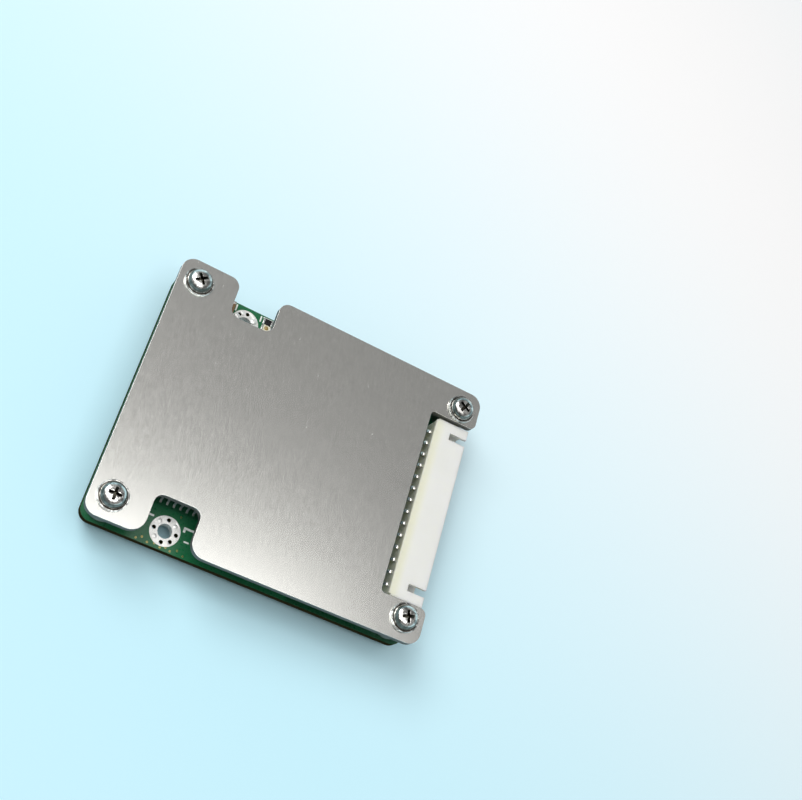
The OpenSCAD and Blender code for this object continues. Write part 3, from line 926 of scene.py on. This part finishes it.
class BOARD_OT_power_pads(BoardPiece, bpy.types.Operator):
    """Tinned wire pads, some of their vias filled with solder"""

    bl_idname = "board.power_pads"
    bl_label = "Power pads"

    def make(self, sizes, colours):
        for name in ("output_pad", "battery_pad"):
            piece = merged_copy(name)
            soften(piece, 0.035)
            paint(piece, ["solder"])
            settle(piece, "tinned_" + name)
            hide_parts(name)
        self.plugs()
        self.lumps()

    def plugs(self):
        """Solder that has filled three of the output pad's vias."""
        z = corners("output_pad")[1].z
        plug = turned([(0.41, -0.5), (0.41, 0.0), (0.3, 0.05), (0.12, 0.07)], (0, 0, z), 16)
        smooth(plug, 60)
        paint(plug, ["solder"])
        steps = []
        for turn in (45, 135, 225):
            angle = math.radians(turn)
            x = OUTPUT_PAD.x + PAD_VIA_RING * math.cos(angle)
            y = OUTPUT_PAD.y + PAD_VIA_RING * math.sin(angle)
            steps.append((x, y, 0))
        piece = joined(copies(plug, steps))
        settle(piece, "via_plugs")

    def lumps(self):
        """Uneven drops of solder left on the battery pad."""
        z = corners("battery_pad")[1].z
        drops = []
        for turn, reach, wide in (
            (155, 2.05, 0.72), (118, 2.2, 0.5), (38, 2.0, 0.8),
            (8, 2.2, 0.55), (200, 2.0, 0.6), (300, 2.1, 0.7),
        ):
            angle = math.radians(turn)
            x = BATTERY_PAD.x + reach * math.cos(angle)
            y = BATTERY_PAD.y + reach * math.sin(angle)
            bpy.ops.object.select_all(action="DESELECT")
            bpy.ops.mesh.primitive_ico_sphere_add(
                subdivisions=4, radius=wide * MM, location=(x * MM, y * MM, z * MM),
                scale=(1, 0.8, 0.42), rotation=(0, 0, angle),
            )
            drop = bpy.context.active_object
            bpy.ops.object.transform_apply(location=True, rotation=True, scale=True)
            edit(drop)
            bpy.ops.transform.vertex_random(offset=0.07 * MM, seed=turn)
            bpy.ops.mesh.vertices_smooth(factor=0.6, repeat=4)
            bpy.ops.mesh.bisect(
                plane_co=(0, 0, (z - 0.04) * MM), plane_no=(0, 0, 1), clear_inner=True,
                use_fill=True,
            )
            close()
            smooth(drop, 60)
            drops.append(drop)
        piece = joined(drops)
        paint(piece, ["solder"])
        settle(piece, "battery_pad_solder")


def dress_chip(node, name, axis, cap, body, edge):
    """A chip part: a bevelled copy, cut at its end caps, with tinned caps."""
    piece = merged_copy(node)
    low, high = corners(node)
    centre = (low[axis] + high[axis]) / 2
    half = (high[axis] - low[axis]) / 2 - cap
    cut_across(piece, axis, (centre - half, centre + half))
    soften(piece, edge)
    paint(piece, [body, "tin"], beyond(axis, [centre], half))
    settle(piece, name)
    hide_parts(node)


def dress_package(node, name, axis, half, edge, centres=None):
    """A moulded package: a bevelled copy whose leads are tinned."""
    piece = merged_copy(node)
    soften(piece, edge)
    paint(piece, ["epoxy", "lead"], beyond(axis, centres or [middle(node)[axis]], half))
    settle(piece, name)
    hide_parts(node)


class BOARD_OT_power_parts(BoardPiece, bpy.types.Operator):
    """Power transistors, thermal pads and current shunts"""

    bl_idname = "board.power_parts"
    bl_label = "Power parts"

    def make(self, sizes, colours):
        for name in MOSFETS:
            dress_package(name, "moulded_" + name, 1, 1.96, sizes.mm("package_edge"))
        for name in ("near_thermal_pad", "far_thermal_pad"):
            piece = merged_copy(name)
            soften(piece, 0.1)
            paint(piece, ["silicone"])
            settle(piece, "soft_" + name)
            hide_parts(name)
        for name in SHUNTS:
            dress_chip(name, "glazed_" + name, 1, 1.1, "glaze", 0.04)


class BOARD_OT_signal_parts(BoardPiece, bpy.types.Operator):
    """Status LED, its resistor, the snubber capacitor and the thermistor"""

    bl_idname = "board.signal_parts"
    bl_label = "Signal parts"

    def make(self, sizes, colours):
        dress_chip("status_led", "lit_status_led", 0, 0.3, "lens", 0.03)
        dress_chip("led_resistor", "glazed_led_resistor", 0, 0.35, "glaze", 0.03)
        dress_chip(
            "snubber_capacitor", "fired_capacitor", 1, 0.5, "ceramic", 0.05
        )
        dress_chip("thermistor", "glazed_thermistor", 1, 0.3, "glaze", 0.03)
        centre = middle("status_led")
        top = corners("status_led")[1].z
        dome = turned(
            [(0.34, -0.2), (0.42, -0.04), (0.36, 0.02), (0.18, 0.05)], (centre.x, centre.y, top), 20
        )
        smooth(dome, 60)
        paint(dome, ["amber"])
        settle(dome, "led_lens")


class BOARD_OT_underside_parts(BoardPiece, bpy.types.Operator):
    """The chips, balancing parts and filter parts under the board"""

    bl_idname = "board.underside_parts"
    bl_label = "Underside parts"

    def make(self, sizes, colours):
        edge = sizes.mm("package_edge")
        dress_package("monitor_chip", "moulded_monitor_chip", 0, 2.66, edge)
        dress_package("controller_chip", "moulded_controller_chip", 1, 1.96, edge)
        dress_package("surge_diode", "moulded_surge_diode", 0, 2.16, edge)
        rows = [middle(name).y for name in BALANCE]
        dress_package(
            "balance_transistors", "moulded_transistors", 1, 0.66, 0.03, rows
        )
        for name in BALANCE:
            dress_chip(name, "glazed_" + name, 0, 0.5, "glaze", 0.03)
        dress_chip(
            "filter_capacitors", "fired_filter_capacitors", 0, 0.3, "ceramic", 0.03
        )


class BOARD_OT_stage(bpy.types.Operator):
    """Pale floor, soft lights and the camera"""

    bl_idname = "board.stage"
    bl_label = "Stage"
    bl_options = {"REGISTER", "UNDO"}

    def execute(self, context):
        stage = context.scene.board_stage
        self.floor(stage)
        self.lights(stage)
        self.room(context.scene, stage)
        self.camera(context.scene, stage)
        context.scene.view_settings.view_transform = "Standard"
        return {"FINISHED"}

    def floor(self, stage):
        bpy.ops.object.select_all(action="DESELECT")
        bpy.ops.mesh.primitive_plane_add(size=3.0)
        floor = bpy.context.active_object
        floor.name = "floor"
        finish = Finish("pale_floor")
        x, y, z = finish.place()
        pale = tuple(stage.floor)
        lit = (x * 0.0026 + y * 0.0042 + 0.2).ramp(0.0, 1.0)
        far = x.distance(y).ramp(180.0, 480.0)
        seen = finish.ray("Is Camera Ray") + finish.ray("Is Glossy Ray")
        seen = (seen + finish.ray("Is Transmission Ray")).ramp(0.4, 0.6)
        base = finish.mix(seen, (0.22, 0.22, 0.22), finish.mix(lit, pale, (1.0, 1.0, 1.0)))
        near = finish.node("ShaderNodeBsdfDiffuse", inputs={"Color": base})
        glow = finish.node("ShaderNodeEmission", inputs={"Color": (*pale, 1.0), "Strength": 1.0})
        finish.end(finish.mix_shader(far * seen, near, glow))
        floor.data.materials.append(finish.owner)

    def lights(self, stage):
        for name, place, aim, wide, deep, power in (
            ("overhead_light", (-75, -45, 620), (-75, -45, 0), 610, 395, stage.overhead_power),
            ("back_light", (-620, 420, 900), (0, 0, 8), 700, 700, stage.back_power),
        ):
            data = bpy.data.lights.new(name, "AREA")
            data.shape = "RECTANGLE"
            data.size = wide * MM
            data.size_y = deep * MM
            data.energy = power
            light = bpy.data.objects.new(name, data)
            light.location = Vector(place) * MM
            light.rotation_mode = "QUATERNION"
            towards = Vector(aim) * MM - light.location
            light.rotation_quaternion = towards.to_track_quat("-Z", "Y")
            bpy.context.scene.collection.objects.link(light)

    def room(self, scene, stage):
        scene.world = bpy.data.worlds.new("room")
        finish = Finish("room", scene.world)
        height = finish.node(
            "ShaderNodeSeparateXYZ",
            inputs={0: finish.node("ShaderNodeTexCoord", output="Generated")}, output=2,
        )
        pale = (*stage.floor, 1.0)
        grey = finish.node("ShaderNodeBackground", inputs={"Strength": stage.world})
        wall = finish.node("ShaderNodeBackground", inputs={"Color": pale, "Strength": 1.0})
        low = (1 - height.ramp(0.3, 0.62)) * 0.8
        mirrored = finish.ray("Is Glossy Ray") + finish.ray("Is Transmission Ray")
        share = finish.ray("Is Camera Ray") + mirrored.ramp(0.4, 0.6) * low
        shader = finish.mix_shader(share, grey, wall)
        finish.end(shader, "ShaderNodeOutputWorld")

    def camera(self, scene, stage):
        data = bpy.data.cameras.new("camera")
        data.lens = stage.lens
        data.sensor_width = 36
        data.clip_start = 0.01
        data.clip_end = 10
        camera = bpy.data.objects.new("camera", data)
        scene.collection.objects.link(camera)
        forward = Vector(CAMERA_FORWARD).normalized()
        right = Vector(CAMERA_RIGHT)
        right = (right - forward * right.dot(forward)).normalized()
        up = right.cross(forward)
        turn = Matrix((right, up, -forward)).transposed()
        place = Matrix.Translation(Vector(CAMERA_PLACE) * MM)
        camera.matrix_world = place @ turn.to_4x4()
        scene.camera = camera


PIECES = (
    BOARD_OT_heatsink_plate,
    BOARD_OT_screws,
    BOARD_OT_nuts_and_spacers,
    BOARD_OT_connector,
    BOARD_OT_circuit_board,
    BOARD_OT_power_pads,
    BOARD_OT_power_parts,
    BOARD_OT_signal_parts,
    BOARD_OT_underside_parts,
    BOARD_OT_stage,
)


class BOARD_PT_pieces(bpy.types.Panel):
    """Lists the pieces and their settings"""

    bl_label = "Battery management board"
    bl_idname = "BOARD_PT_pieces"
    bl_space_type = "VIEW_3D"
    bl_region_type = "UI"
    bl_category = "Board"

    def draw(self, context):
        for operator in PIECES:
            self.layout.operator(operator.bl_idname)
        for group in ("board_sizes", "board_colours", "board_stage"):
            box = self.layout.box()
            settings = getattr(context.scene, group)
            for name in settings.__annotations__:
                box.prop(settings, name)


CLASSES = (BoardSizes, BoardColours, StageSettings, *PIECES, BOARD_PT_pieces)


def register():
    for cls in CLASSES:
        bpy.utils.register_class(cls)
    bpy.types.Scene.board_sizes = PointerProperty(type=BoardSizes)
    bpy.types.Scene.board_colours = PointerProperty(type=BoardColours)
    bpy.types.Scene.board_stage = PointerProperty(type=StageSettings)


def unregister():
    del bpy.types.Scene.board_stage
    del bpy.types.Scene.board_colours
    del bpy.types.Scene.board_sizes
    for cls in reversed(CLASSES):
        bpy.utils.unregister_class(cls)


def main():
    register()
    bpy.ops.object.select_all(action="DESELECT")
    make_materials(bpy.context.scene.board_colours)
    bpy.ops.board.heatsink_plate()
    bpy.ops.board.screws()
    bpy.ops.board.nuts_and_spacers()
    bpy.ops.board.connector()
    bpy.ops.board.circuit_board()
    bpy.ops.board.power_pads()
    bpy.ops.board.power_parts()
    bpy.ops.board.signal_parts()
    bpy.ops.board.underside_parts()
    bpy.ops.board.stage()


if __name__ == "__main__":
    main()
